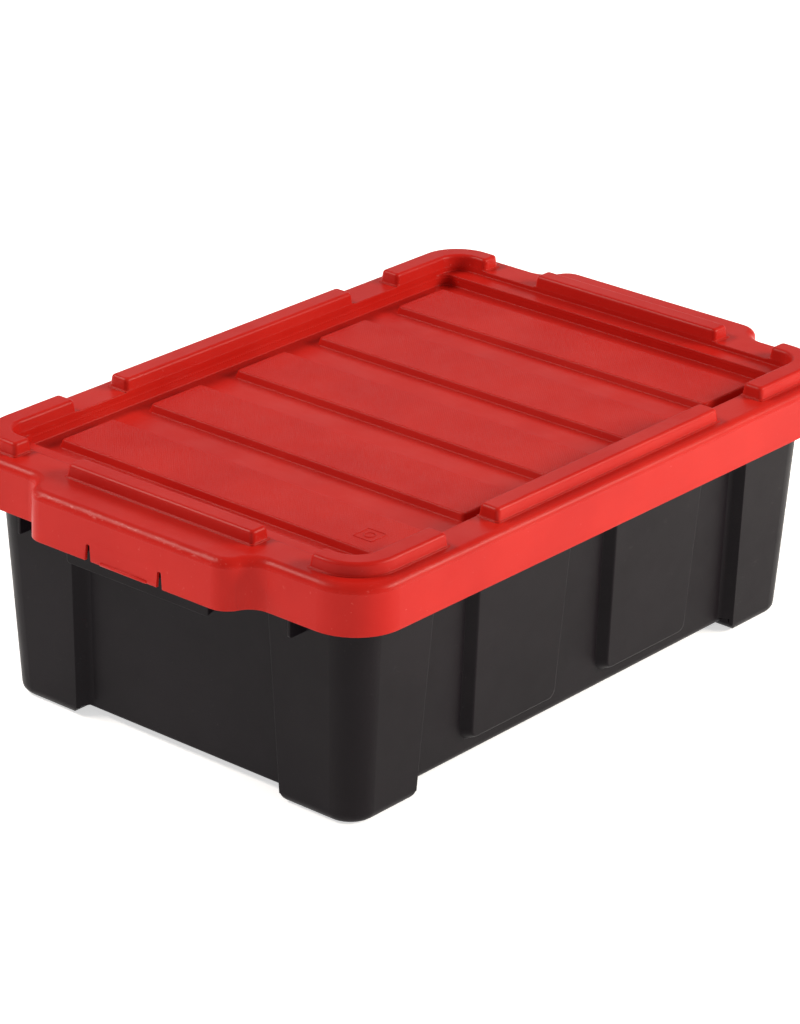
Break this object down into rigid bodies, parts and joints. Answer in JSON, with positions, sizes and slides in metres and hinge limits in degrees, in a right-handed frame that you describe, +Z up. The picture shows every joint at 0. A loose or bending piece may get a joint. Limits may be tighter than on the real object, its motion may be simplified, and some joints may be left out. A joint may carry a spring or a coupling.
{
  "type": "storage tote",
  "caption": "Low rectangular plastic storage tote: tapered bin with corner posts and raised side pads, and a one-piece press-on lid with end carry handles, ribbed top panels and stacking bars.",
  "frame": {"origin": "on the floor plane under the middle of the tote", "axes": "+X along the long side, from one handle to the other; +Y across; +Z up"},
  "size_m": [0.74, 0.4774, 0.2503],
  "materials": {
    "bin_plastic": "satin",
    "lid_plastic": "satin"
  },
  "bodies": {
    "bin": {"bin": "bin_plastic"},
    "lid": {"lid": "lid_plastic"},
    "snap_tab_left": {"snap_tab_left": "lid_plastic"},
    "snap_tab_right": {"snap_tab_right": "lid_plastic"}
  },
  "joints": [
    {"name": "lid_lift", "type": "slide", "parent": "bin", "child": "lid", "axis": [0, 0, 1], "range_m": [0, 0.3]},
    {"name": "tab_left_flex", "type": "hinge", "parent": "lid", "child": "snap_tab_left", "pos_m": [-0.3672, 0, 0.207], "axis": [0, 1, 0], "range_deg": [0, 10], "stiffness_Nm_per_rad": 1},
    {"name": "tab_right_flex", "type": "hinge", "parent": "lid", "child": "snap_tab_right", "pos_m": [0.3672, 0, 0.207], "axis": [0, -1, 0], "range_deg": [0, 10], "stiffness_Nm_per_rad": 1}
  ]
}
